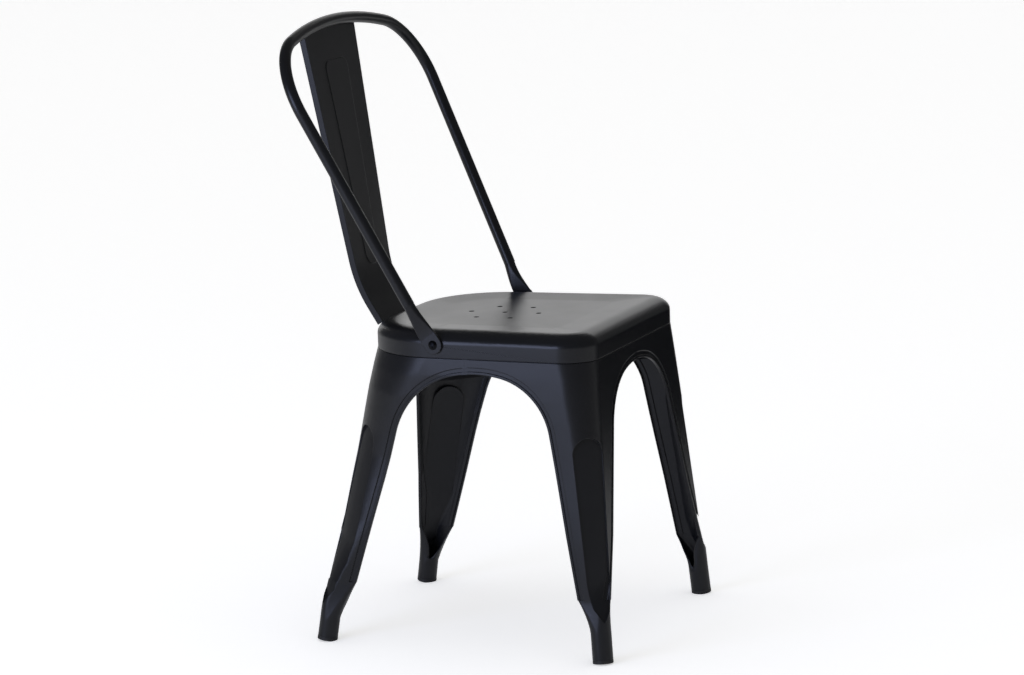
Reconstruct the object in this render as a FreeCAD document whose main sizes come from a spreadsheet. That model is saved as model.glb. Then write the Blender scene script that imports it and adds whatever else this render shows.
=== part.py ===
"""A sheet-metal bistro chair: four pressed legs, a seat pan, a bent tube hoop and a pressed splat.

Millimetres, +Z up, the floor at z = 0. The sitter faces -Y, so the sitter's right hand is at -X.
The pieces are first laid out about the middle of the four feet, and at the end the whole chair is
moved so that its origin is the middle of its bounding box at floor level.
"""
import FreeCAD
import Part

import math
import os

from FreeCAD import Placement, Rotation, Vector

# Driving sizes: name, value in millimetres or degrees, meaning
SIZES = [
    ("seat_height", 438.0, "floor to the rim of the seat"),
    ("seat_front_width", 368.0, "width of the skirt at the front"),
    ("seat_back_width", 336.0, "width of the skirt at the back"),
    ("seat_depth", 349.6, "front of the skirt to its back"),
    ("seat_reach", 193.6, "front of the skirt to the middle of the feet"),
    ("seat_front_corner", 45.0, "plan radius of the front corners"),
    ("seat_back_corner", 121.0, "plan radius of the back corners"),
    ("pan_depth", 36.5, "rim of the seat to the bottom edge of the skirt"),
    ("pan_sheet", 1.5, "thickness of the seat's sheet"),
    ("roll_width", 26.0, "how far the rolled edge reaches over the seat"),
    ("roll_drop", 18.0, "how far the rolled edge drops to the skirt"),
    ("dish_width", 46.0, "width of the slope from the rim to the dished field"),
    ("dish_drop", 2.5, "how far the field lies under the rim"),
    ("drain_pitch", 50.0, "middle drain hole to each of the six round it"),
    ("drain_bore", 7.5, "diameter of a drain hole"),
    ("drain_setback", 15.5, "middle drain hole behind the middle of the seat"),
    ("front_feet", 402.8, "between the centres of the front feet"),
    ("back_feet", 349.8, "between the centres of the back feet"),
    ("feet_span", 417.0, "front feet to back feet"),
    ("foot_tube", 28.0, "diameter of the round foot"),
    ("waist", 170.0, "height between the legs' wide and narrow parts"),
    ("front_waist_corner", 26.0, "corner radius of a front leg at the waist"),
    ("back_waist_corner", 51.0, "corner radius of a back leg at the waist"),
    ("front_curl_corner", 12.0, "corner radius of a front leg where it starts to curl"),
    ("back_curl_corner", 20.0, "corner radius of a back leg where it starts to curl"),
    ("front_toe", 6.2, "turn-in of a front leg's side face at the waist, degrees"),
    ("front_curl_toe", 10.8, "the same where the leg starts to curl"),
    ("back_toe", 10.2, "turn-in of a back leg's side face at the waist, degrees"),
    ("back_curl_toe", 13.2, "the same where the leg starts to curl"),
    ("toe_low_drop", 208.0, "rim of the seat to the height above which the turn-in fades"),
    ("toe_high_drop", 60.0, "rim of the seat to where the legs' faces follow the seat"),
    ("leg_sheet", 1.5, "thickness of the legs' sheet"),
    ("leg_joint", 0.1, "joint between two legs over an arch"),
    ("leg_band", 17.5, "height of the band that is welded inside the skirt"),
    ("leg_gap", 0.8, "open joint between the skirt and the legs"),
    ("weld_fit", 0.3, "gap between parts that are welded or slid together"),
    ("lip", 4.0, "depth of the lip turned in round an arch"),
    ("bead_width", 9.0, "arch's edge to the outer side of the groove along it"),
    ("bead_rim", 3.5, "arch's edge to the inner side of that groove"),
    ("bead_step", 1.2, "depth of the groove"),
    ("leg_split", 5.0, "middle of the seat to the joint between a front and a back leg"),
    ("side_arch_shift", -10.5, "middle of the seat to the middle of the side arch's crown"),
    ("side_arch_drop", 56.8, "rim of the seat to the crown of the side arch"),
    ("side_arch_crown", 164.0, "radius of the crown of the side arch"),
    ("side_arch_front_flat", 37.8, "half width of that crown towards the front"),
    ("side_arch_back_flat", 31.3, "half width of that crown towards the back"),
    ("side_arch_front_shoulder", 91.4, "radius of the front shoulder of the side arch"),
    ("side_arch_back_shoulder", 124.0, "radius of its back shoulder"),
    ("side_front_lean", 9.9, "lean of its edge on the front leg, degrees"),
    ("side_back_lean", 17.3, "lean of its edge on the back leg, degrees"),
    ("front_arch_drop", 62.0, "rim of the seat to the crown of the front arch"),
    ("front_arch_crown", 170.0, "radius of the crown of the front arch"),
    ("front_arch_flat", 45.0, "half width of that crown"),
    ("front_arch_shoulder", 93.0, "radius of the shoulders of the front arch"),
    ("front_arch_lean", 17.0, "lean of its edges above the knee, degrees"),
    ("front_arch_knee", 21.5, "lean of its edges below the knee, degrees"),
    ("back_arch_drop", 82.0, "rim of the seat to the crown of the back arch"),
    ("back_arch_crown", 90.0, "radius of the crown of the back arch"),
    ("back_arch_flat", 45.0, "half width of that crown"),
    ("back_arch_shoulder", 90.0, "radius of the shoulders of the back arch"),
    ("back_arch_lean", 18.3, "lean of its edges above the knee, degrees"),
    ("back_arch_knee", 18.3, "lean of its edges below the knee, degrees"),
    ("arch_knee", 165.0, "height of the knee in the edges of the front and back arch"),
    ("curl_top", 84.0, "height where the leg starts to curl into its foot"),
    ("front_curl_round", 41.0, "height where a front foot is round"),
    ("back_curl_round", 31.0, "height where a back foot is round"),
    ("front_curl_ease", 1.4, "how softly a front leg runs into its foot, 1 being straight"),
    ("back_curl_ease", 1.0, "the same for a back leg"),
    ("curl_close", 2.0, "round part of the foot that is still open on its inner side"),
    ("front_flute_drop", 159.0, "rim of the seat to the widest part of a front flute"),
    ("back_flute_drop", 162.0, "rim of the seat to the widest part of a back flute"),
    ("front_flute_ramp", 107.0, "height where a front flute starts to narrow quickly"),
    ("back_flute_ramp", 140.0, "the same for a back flute"),
    ("flute_end", 74.0, "height of the shoulders of its pointed lower end"),
    ("flute_tip", 62.0, "height of the point"),
    ("front_flute_half", 21.2, "half width of a front flute at its top"),
    ("front_flute_low", 15.0, "half width of a front flute at the ramp"),
    ("front_flute_curl", 12.5, "half width of a front flute where the leg starts to curl"),
    ("front_flute_end", 9.5, "half width of a front flute at its shoulders"),
    ("back_flute_half", 23.0, "half width of a back flute at its top"),
    ("back_flute_low", 21.5, "half width of a back flute at the ramp"),
    ("back_flute_curl", 11.5, "half width of a back flute where the leg starts to curl"),
    ("back_flute_end", 9.5, "half width of a back flute at its shoulders"),
    ("flute_step", 2.2, "step at the edge of a flute"),
    ("flute_ridge", 2.4, "how far the middle of a flute's floor stands up"),
    ("brace_height", 24.0, "height of a cross brace bar"),
    ("brace_thick", 3.0, "thickness of a cross brace bar"),
    ("brace_drop", 89.0, "rim of the seat to the lower edge of a cross brace bar"),
    ("glide_rim", 4.5, "thickness of the glide under the foot"),
    ("glide_plug", 18.0, "length of the glide inside the foot"),
    ("chair_height", 849.5, "floor to the top of the hoop"),
    ("hoop_tube", 16.0, "diameter of the hoop's tube"),
    ("hoop_wall", 1.5, "wall of the hoop's tube"),
    ("hoop_width", 450.0, "widest distance between the hoop's centre lines"),
    ("hoop_setback", 44.0, "middle of the feet to the hoop's plane at the seat rim"),
    ("hoop_lean", 25.7, "backward lean of the hoop's plane, degrees"),
    ("hoop_flare", 8.2, "outward lean of the posts in that plane, degrees"),
    ("hoop_corner", 90.0, "radius of the hoop's corners"),
    ("hoop_crown", 700.0, "radius of the hoop's top"),
    ("post_rise", 36.0, "rim of the seat to the lowest round part of a post"),
    ("tab_setback", 31.0, "middle of the feet to the screw"),
    ("tab_drop", 18.5, "rim of the seat down to the screw"),
    ("tab_width", 25.4, "width of the flattened end"),
    ("tab_thick", 3.6, "thickness of the flattened end"),
    ("tab_lean", 35.0, "backward lean of the flattened end, degrees"),
    ("tab_fold", 13.0, "screw to the fold of the flattened end"),
    ("screw_bore", 6.6, "hole for a screw"),
    ("screw_shank", 6.0, "diameter of a screw"),
    ("screw_length", 15.0, "length of a screw under its head"),
    ("screw_head", 13.0, "diameter of a screw's head"),
    ("screw_dome", 3.0, "height of a screw's head"),
    ("recess_span", 6.4, "span of the cross recess"),
    ("recess_slot", 1.5, "width of a slot of the recess"),
    ("recess_depth", 1.6, "depth of the recess"),
    ("washer_size", 12.0, "diameter of a washer"),
    ("washer_thick", 1.2, "thickness of a washer"),
    ("nut_flats", 10.0, "width of a nut across its flats"),
    ("nut_height", 5.0, "height of a nut"),
    ("splat_drop", 9.0, "top of the hoop to the top edge of the splat"),
    ("splat_top_width", 169.0, "width of the splat at its top"),
    ("splat_foot_width", 106.0, "width of the splat at the seat rim"),
    ("splat_sheet", 1.2, "thickness of the splat's sheet"),
    ("splat_flange", 9.0, "depth of the folded edges"),
    ("splat_lean", 8.95, "backward lean of the splat's long part, degrees"),
    ("splat_foot_lean", 29.7, "backward lean of its lower part, degrees"),
    ("splat_bend", 180.0, "radius of the bend between them"),
    ("splat_bend_rise", 74.0, "rim of the seat up to where that bend starts"),
    ("splat_toe_bend", 12.0, "radius of the bend onto the skirt"),
    ("splat_toe_drop", 32.0, "rim of the seat down to the lower edge of the splat"),
    ("flange_drop", 12.0, "rim of the seat down to the lower end of the folded edges"),
    ("flange_top_drop", 14.0, "top edge of the splat down to the upper end of the folded edges"),
    ("panel_drop", 54.0, "top of the splat to the top of the embossed panel"),
    ("panel_rise", 62.0, "rim of the seat up to its lower end"),
    ("panel_top_width", 72.0, "its width at the top"),
    ("panel_foot_width", 38.0, "its width at the lower end"),
    ("panel_corner", 12.0, "radius of its upper corners"),
    ("panel_foot_corner", 17.0, "radius of its lower corners"),
    ("panel_step", 0.8, "how far it stands out"),
]

doc = FreeCAD.newDocument("bistro_chair")
sheet = doc.addObject("Spreadsheet::Sheet", "sizes")
for row, (alias, value, meaning) in enumerate(SIZES, 1):
    sheet.set("A%d" % row, meaning)
    sheet.set("B%d" % row, str(value))
    sheet.setAlias("B%d" % row, alias)
doc.recompute()


def size(alias):
    return float(sheet.get(alias))


def radians(alias):
    return math.radians(size(alias))


def below_rim(alias):
    """The height of something that is placed from the rim of the seat."""
    return size("seat_height") - size(alias)


PIECES = []
OVER = 5.0
RIGHT = -1
LEFT = 1


def add_shape(name, shape):
    """A piece whose shape is made here from the sheet's sizes."""
    piece = doc.addObject("Part::Feature", name)
    piece.Label = name
    piece.Shape = shape
    PIECES.append(piece)
    return piece


def keep(piece, name):
    piece.Label = name
    PIECES.append(piece)
    return piece


def line(a, b):
    return Part.LineSegment(a, b).toShape()


def arc(a, b, c):
    return Part.Arc(a, b, c).toShape()


def closed(edges):
    return Part.Wire(Part.__sortEdges__(edges))


def polygon(points):
    return Part.Wire(Part.makePolygon(points + points[:1]).Edges)


def prism(wire, vector):
    return Part.Face(wire).extrude(vector)


def mirrored(shape):
    """The same shape on the other side of the chair."""
    return shape.mirror(Vector(0, 0, 0), Vector(1, 0, 0))


def rounded_frame(corners, radii, z):
    """A closed wire of lines and arcs through four corners of a plan, counter-clockwise."""
    points = [Vector(x, y, z) for x, y in corners]
    starts, middles, ends = [], [], []
    for i, corner in enumerate(points):
        before = (points[i - 1] - corner).normalize()
        after = (points[(i + 1) % 4] - corner).normalize()
        half = before.getAngle(after) / 2
        setback = radii[i] / math.tan(half)
        bisector = (before + after).normalize()
        starts.append(corner + before * setback)
        middles.append(corner + bisector * (radii[i] / math.sin(half) - radii[i]))
        ends.append(corner + after * setback)
    edges = []
    for i in range(4):
        edges.append(arc(starts[i], middles[i], ends[i]))
        edges.append(line(ends[i], starts[(i + 1) % 4]))
    return Part.Wire(edges)


# The seat's outline in plan, and how the legs' faces spread below it
MIN_RADIUS = 6.0
SEAT_FRONT = -size("seat_reach")
SEAT_BACK = SEAT_FRONT + size("seat_depth")
SEAT_MIDDLE = (SEAT_FRONT + SEAT_BACK) / 2
SKIRT_FOOT = size("seat_height") - size("pan_depth")
FOOT_RADIUS = size("foot_tube") / 2


def tapered_plan(front, back, near, far, radii, inset, z):
    """A plan with a straight front and back, leaning sides and round corners, set in all round."""
    slope = (back - front) / (far - near)
    side_inset = inset * math.sqrt(1 + slope ** 2)
    half_near = front + slope * inset - side_inset
    half_far = back - slope * inset - side_inset
    corners = [(-half_near, near + inset), (half_near, near + inset),
               (half_far, far - inset), (-half_far, far - inset)]
    front_radius, back_radius = [max(radius - inset, MIN_RADIUS) for radius in radii]
    return rounded_frame(corners, [front_radius, front_radius, back_radius, back_radius], z)


def seat_plan(inset, z):
    return tapered_plan(size("seat_front_width") / 2, size("seat_back_width") / 2, SEAT_FRONT, SEAT_BACK,
                        (size("seat_front_corner"), size("seat_back_corner")), inset, z)


def straight_sizes(z):
    """Half widths at front and back, and the front and back face, on the lines from seat to feet."""
    down = (SKIRT_FOOT - z) / SKIRT_FOOT
    at_seam = [size("seat_front_width") / 2, size("seat_back_width") / 2, SEAT_FRONT, SEAT_BACK]
    at_floor = [size("front_feet") / 2 + FOOT_RADIUS, size("back_feet") / 2 + FOOT_RADIUS,
                -size("feet_span") / 2 - FOOT_RADIUS, size("feet_span") / 2 + FOOT_RADIUS]
    return [top + (low - top) * down for top, low in zip(at_seam, at_floor)]


def toe(end, z):
    """How much a leg's side face turns inward with each millimetre from its corner."""
    front, back, near, far = straight_sizes(z)
    seat = (front - back) / (far - near)
    if end == "back":
        seat = -seat
    waist = math.tan(radians(end + "_toe"))
    if z < size("waist"):
        curl = math.tan(radians(end + "_curl_toe"))
        return curl + (waist - curl) * (z - size("curl_top")) / (size("waist") - size("curl_top"))
    share = (z - below_rim("toe_low_drop")) / (below_rim("toe_high_drop") - below_rim("toe_low_drop"))
    share = min(max(share, 0), 1)
    return waist + (seat - waist) * share * share * (3 - 2 * share)


def leg_sizes(end, z):
    """The same four sizes for the front or the back legs, whose side faces turn inward."""
    front, back, near, far = straight_sizes(z)
    turned = toe(end, z) * (far - near)
    if end == "front":
        return [front, front - turned, near, far]
    return [back - turned, back, near, far]


def corner_radius(end, z):
    """Radius of a leg's outer corner, which grows from the curl to the waist and on to the seat."""
    curl = size(end + "_curl_corner")
    waist = size(end + "_waist_corner")
    seam = size("seat_" + end + "_corner")
    if z < size("waist"):
        share = (z - size("curl_top")) / (size("waist") - size("curl_top"))
        return curl + (waist - curl) * share
    share = (z - size("waist")) / (SKIRT_FOOT - size("waist"))
    return waist + (seam - waist) * max(share, 0) ** 1.4


def leg_plan(end, inset, z):
    radii = [MIN_RADIUS + inset, MIN_RADIUS + inset]
    radii[0 if end == "front" else 1] = corner_radius(end, z)
    return tapered_plan(*leg_sizes(end, z), radii, inset, z)


def leg_block(end, inset, low, high):
    """The solid inside the faces of the front or the back legs, set in by a distance."""
    steps = 5
    fade = below_rim("toe_high_drop") - below_rim("toe_low_drop")
    levels = [size("waist")] + [below_rim("toe_low_drop") + fade * step / steps for step in range(steps + 1)]
    inner = [z for z in sorted(levels) if low + 1 < z < high - 1]
    return Part.makeLoft([leg_plan(end, inset, z) for z in [low] + inner + [high]], True, True)


def seat_side(y):
    """Half width of the skirt's straight side at a distance along the chair."""
    share = (y - SEAT_FRONT) / size("seat_depth")
    return size("seat_front_width") / 2 * (1 - share) + size("seat_back_width") / 2 * share


# The screw's axis: square to the skirt's side, on the sitter's right
SIDE_TAPER = math.atan((size("seat_front_width") - size("seat_back_width")) / 2 / size("seat_depth"))
SIDE_OUT = Vector(-math.cos(SIDE_TAPER), math.sin(SIDE_TAPER), 0)
SIDE_ALONG = Vector(math.sin(SIDE_TAPER), math.cos(SIDE_TAPER), 0)
SCREW_SEAT = Vector(-seat_side(size("tab_setback")), size("tab_setback"), below_rim("tab_drop"))


def screw_hole():
    length = 4 * size("screw_length")
    start = SCREW_SEAT - SIDE_OUT * (length / 2)
    hole = Part.makeCylinder(size("screw_bore") / 2, length, start, SIDE_OUT)
    return [hole, mirrored(hole)]


def make_seat_pan():
    """A pressed pan: upright skirt, rolled edge, and a shallow dished field with seven holes."""
    roll_steps = 6
    roll_width = size("roll_width")
    roll_drop = size("roll_drop")
    thick = size("pan_sheet")
    rim = size("seat_height")

    def skin(offset, low):
        skirt = Part.makeLoft([seat_plan(offset, low), seat_plan(offset, rim - roll_drop)], True, True)
        wires = []
        for step in range(roll_steps + 1):
            angle = math.pi / 2 * step / roll_steps
            out = Vector(roll_drop * math.cos(angle), 0, roll_width * math.sin(angle)).normalize()
            inset = roll_width * (1 - math.cos(angle)) + offset * out.x
            wires.append(seat_plan(inset, rim - roll_drop * (1 - math.sin(angle)) - offset * out.z))
        roll = Part.makeLoft(wires, True, False)
        field = size("dish_width") + roll_width
        dish = Part.makeLoft([seat_plan(roll_width, rim - offset),
                              seat_plan(field, rim - size("dish_drop") - offset)], True, True)
        return skirt.fuse(roll).cut(dish)

    pan = skin(0, SKIRT_FOOT).cut(skin(thick, SKIRT_FOOT - OVER))
    middle = Vector(0, SEAT_MIDDLE + size("drain_setback"), rim - 4 * size("pan_sheet") - OVER)
    holes = []
    for number in range(7):
        turn = math.radians(60 * number + 30)
        offset = Vector(math.cos(turn), math.sin(turn), 0) * size("drain_pitch")
        place = middle if number == 6 else middle + offset
        holes.append(Part.makeCylinder(size("drain_bore") / 2, 6 * OVER, place))
    return pan.cut(holes + screw_hole())


def arch_wire(place, middle, top, crown, flats, shoulders, leans, knees, grow):
    """A basket arch: a crown, two shoulders and two leaning edges, enlarged all round by grow.

    place turns (across, height) into a point; flats, shoulders, leans and knees are the crown's half
    width, the shoulder's radius and the edge's lean above and below the knee, at - and + across.
    """
    low = size("curl_top") - 8 * OVER
    rounds, feet = [], []
    for way, flat, shoulder, lean, knee in zip((-1, 1), flats, shoulders, leans, knees):
        turn = math.asin(flat / crown)
        reach = crown + grow
        start = (middle + way * reach * math.sin(turn), top - crown + reach * math.cos(turn))
        centre = (middle + way * (crown - shoulder) * math.sin(turn),
                  top - crown + (crown - shoulder) * math.cos(turn))
        halfway = (math.pi / 2 - turn + lean) / 2
        bow, end = [(centre[0] + way * (shoulder + grow) * math.cos(angle),
                     centre[1] + (shoulder + grow) * math.sin(angle)) for angle in (halfway, lean)]
        rounds.append((start, bow, end))
        edge = [end]
        if abs(knee - lean) > 0.001:
            # The knee moves out along the middle of the two edges' normals
            rise = (math.sin(lean) + math.sin(knee)) / (1 + math.cos(lean - knee))
            height = size("arch_knee") + grow * rise
            end = (end[0] + way * math.tan(lean) * (end[1] - height), height)
            edge.append(end)
        edge.append((end[0] + way * math.tan(knee) * (end[1] - low), low))
        feet.append(edge)
    minus, plus = [[place(*point) for point in side] for side in rounds]
    edges = [arc(minus[0], place(middle, top + grow), plus[0]), arc(*minus), arc(*plus)]
    for edge in feet:
        points = [place(*point) for point in edge]
        edges += [line(a, b) for a, b in zip(points, points[1:])]
    edges.append(line(place(*feet[0][-1]), place(*feet[1][-1])))
    return closed(edges)


REACH = 400.0
SPLIT = SEAT_MIDDLE + size("leg_split")
ARCH_MIDDLE = SEAT_MIDDLE + size("side_arch_shift")


def side_arch(grow):
    """The opening between a front and a back leg, cut through the sitter's right side."""
    flats = [size("side_arch_%s_flat" % end) for end in ("front", "back")]
    shoulders = [size("side_arch_%s_shoulder" % end) for end in ("front", "back")]
    leans = [radians("side_%s_lean" % end) for end in ("front", "back")]
    wire = arch_wire(lambda y, z: Vector(-REACH, y, z), ARCH_MIDDLE, below_rim("side_arch_drop"),
                     size("side_arch_crown"), flats, shoulders, leans, leans, grow)
    return prism(wire, Vector(REACH, 0, 0))


def end_arch(end, grow):
    """The opening between the two front or the two back legs."""
    way = -1 if end == "front" else 1
    flats = [size(end + "_arch_flat")] * 2
    shoulders = [size(end + "_arch_shoulder")] * 2
    leans = [radians(end + "_arch_lean")] * 2
    knees = [radians(end + "_arch_knee")] * 2
    wire = arch_wire(lambda x, z: Vector(x, way * REACH, z), 0, below_rim(end + "_arch_drop"),
                     size(end + "_arch_crown"), flats, shoulders, leans, knees, grow)
    return prism(wire, Vector(0, -way * (REACH - OVER), 0))


def edge_across(top, crown, flat, shoulder, lean, z):
    """How far from the middle of an arch its leaning edge lies at a height."""
    turn = math.asin(flat / crown)
    spare = crown - shoulder
    end = top - crown + spare * math.cos(turn) + shoulder * math.sin(lean)
    return spare * math.sin(turn) + shoulder * math.cos(lean) + math.tan(lean) * (end - z)


def side_edge(end, z):
    """Distance along the chair of the side arch's edge on a front or back leg."""
    across = edge_across(below_rim("side_arch_drop"), size("side_arch_crown"),
                         size("side_arch_%s_flat" % end), size("side_arch_%s_shoulder" % end),
                         radians("side_" + end + "_lean"), z)
    return ARCH_MIDDLE + (across if end == "back" else -across)


def end_edge(end, z):
    """Half width of the front or back arch at a height below the knee."""
    knee = size("arch_knee")
    half = edge_across(below_rim(end + "_arch_drop"), size(end + "_arch_crown"), size(end + "_arch_flat"),
                       size(end + "_arch_shoulder"), radians(end + "_arch_lean"), knee)
    return half + math.tan(radians(end + "_arch_knee")) * (knee - z)


def curl_share(end, z):
    """How far a leg is from its round foot (0) to the open leg (1) at a height in the curl."""
    low = size(end + "_curl_round")
    return ((z - low) / (size("curl_top") - low)) ** size(end + "_curl_ease")


class Corner:
    """One corner of the chair on the sitter's right, front or back."""

    def __init__(self, end):
        self.end = end
        self.way = -1 if end == "front" else 1
        turn = math.atan(toe(end, size("waist")))
        along = 1 + math.sin(turn)
        self.inward = Vector(along, -self.way * math.cos(turn), 0).normalize()
        self.across = Vector(math.cos(turn), self.way * along, 0).normalize()

    def sharp(self, z):
        """Where the two outer faces would meet at a height."""
        front, back, near, far = straight_sizes(z)
        if self.end == "front":
            return Vector(-front, near, z)
        return Vector(-back, far, z)

    def side_point(self, y, z):
        """The point of the leg's side face at a distance along the chair and a height."""
        outer = self.sharp(z)
        return Vector(outer.x + toe(self.end, z) * abs(y - outer.y), y, z)

    def depth(self, z, half):
        """How deep under the sharp corner the rounded corner lies, at a half width from its middle."""
        radius = max(corner_radius(self.end, z), half + 1)
        opening = (math.pi / 2 - math.atan(toe(self.end, z))) / 2
        return radius / math.sin(opening) - math.sqrt(radius ** 2 - half ** 2)

    def curl_depth(self, z):
        """The same at the middle, at a height in the curl."""
        share = curl_share(self.end, z)
        radius = FOOT_RADIUS * (1 - share) + corner_radius(self.end, size("curl_top")) * share
        opening = (math.pi / 2 - math.atan(toe(self.end, size("curl_top")))) / 2
        return radius / math.sin(opening) - radius

    def axis(self, z):
        """The foot's centre line at a height."""
        return self.sharp(z) + Vector(FOOT_RADIUS, -self.way * FOOT_RADIUS, 0)

    def axis_up(self):
        return (self.axis(SKIRT_FOOT) - self.axis(0)).normalize()

    def lean(self):
        return self.axis_up().getAngle(Vector(0, 0, 1))

    def rim_low(self):
        """How far above the floor, along the axis, the glide's underside has its centre."""
        return FOOT_RADIUS * math.sin(self.lean()) / 2

    def tube_end(self):
        """Where the steel foot ends, on its axis."""
        return self.axis(0) + self.axis_up() * (self.rim_low() + size("glide_rim"))


def half_space(point, normal, reach):
    """A block whose one face lies on a plane and which fills the side that the normal points to."""
    block = Part.makeBox(2 * reach, 2 * reach, reach, Vector(-reach, -reach, 0))
    block.Placement = Placement(point, Rotation(Vector(0, 0, 1), normal))
    return block


def flute(corner, grow):
    """The tool that presses a flute into a leg's corner, enlarged all round by grow."""
    end = corner.end
    high = below_rim(end + "_flute_drop")
    ramp = size(end + "_flute_ramp")
    low = size("flute_end")
    tip = size("flute_tip")
    top_half = size(end + "_flute_half")
    stations = [(high, top_half), (ramp, size(end + "_flute_low")),
                (size("curl_top"), size(end + "_flute_curl")), (low, size(end + "_flute_end"))]
    floors = [(z, corner.depth(z, half) + size("flute_step")) for z, half in stations[:3]]
    draft = 0.15
    middle_depth = (floors[0][1] + floors[1][1]) / 2

    def place(depth, across, z):
        return corner.sharp(z) + corner.inward * depth + corner.across * across

    def outline(depth):
        wide = grow + draft * (middle_depth - depth)
        left = [place(depth, -half - wide, z) for z, half in stations]
        right = [place(depth, half + wide, z) for z, half in stations]
        point = place(depth, 0, tip - 2 * wide)
        edges = [arc(left[0], place(depth, 0, high + top_half + wide), right[0])]
        corners = right + [point] + left[::-1]
        for a, b in zip(corners, corners[1:]):
            edges.append(line(a, b))
        return Part.Wire(edges)

    outer_depth = -4 * OVER
    inner_depth = floors[0][1] + 4 * OVER
    channel = Part.makeLoft([outline(outer_depth), outline(inner_depth)], True, True)
    above = high + top_half + 6 * OVER
    slope = (floors[0][1] - floors[1][1]) / (floors[0][0] - floors[1][0])
    profile = [(outer_depth - OVER, above), (floors[0][1] + slope * (above - high) + grow, above)]
    profile += [(depth + grow, z) for z, depth in floors[1:]]
    tip_depth = corner.curl_depth(tip) + size("flute_ridge") + size("flute_step") / 2
    profile += [(tip_depth + grow, tip), (tip_depth + grow - 2 * OVER, tip - 4 * OVER),
                (outer_depth - OVER, tip - 4 * OVER)]
    reach = 2 * top_half
    floor = []
    for way in (-1, 1):
        rise = size("flute_ridge") / top_half
        tilt = corner.across + corner.inward * (way * rise)
        start = corner.inward * -size("flute_ridge") - tilt * reach
        side = polygon([place(depth, 0, z) + start for depth, z in profile])
        floor.append(prism(side, tilt * (2 * reach)))
    return channel.common(floor[0].fuse(floor[1]))


def foot_section(corner, inset, z):
    """The round foot's outline at a height, drawn as four arcs with hardly any straight between."""
    centre = corner.axis(z)
    half = FOOT_RADIUS - inset
    corners = [(centre.x - half, centre.y - half), (centre.x + half, centre.y - half),
               (centre.x + half, centre.y + half), (centre.x - half, centre.y + half)]
    return rounded_frame(corners, [half - 0.01] * 4, z)


def inset_corners(points, inset):
    """The corners of a four-sided outline, counter-clockwise, after it is set in all round."""
    moved = []
    for i, here in enumerate(points):
        before = (here - points[i - 1]).normalize()
        after = (points[(i + 1) % 4] - here).normalize()
        inward = Vector(-before.y, before.x, 0) + Vector(-after.y, after.x, 0)
        moved.append(here + inward * (inset / (1 + before.dot(after))))
    return moved


def curl_section(corner, inset, z, share):
    """The leg's outline at a height in the curl: from the round foot (0) to the open leg (1)."""
    outer = corner.sharp(z)
    side = corner.side_point(side_edge(corner.end, z), z)
    last = Vector(-end_edge(corner.end, z), outer.y, z)
    inner = side + last - outer
    leg = [outer, last, inner, side] if corner.end == "front" else [last, outer, side, inner]
    centre = corner.axis(z)
    ways = [(-1, -1), (1, -1), (1, 1), (-1, 1)]
    if corner.end == "back":
        ways = [(1, 1), (-1, 1), (-1, -1), (1, -1)]
    foot = [centre + Vector(x, y, 0) * FOOT_RADIUS for x, y in ways]
    mixed = [a * (1 - share) + b * share for a, b in zip(foot, leg)]
    corners = [(point.x, point.y) for point in inset_corners(mixed, inset)]
    rounding = [FOOT_RADIUS * (1 - share) + 2 * size("leg_sheet") * share] * 4
    sharp_number = 0 if corner.end == "front" else 1
    rounding[sharp_number] = FOOT_RADIUS * (1 - share) + corner_radius(corner.end, z) * share
    return rounded_frame(corners, [radius - inset - 0.01 for radius in rounding], z)


def leg_room(end, low, high):
    """The quarter of the chair that belongs to a leg on the sitter's right."""
    half_joint = size("leg_joint") / 2
    start = SPLIT - REACH - half_joint if end == "front" else SPLIT + half_joint
    return Part.makeBox(REACH, REACH, high - low, Vector(-REACH - half_joint, start, low))


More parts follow.
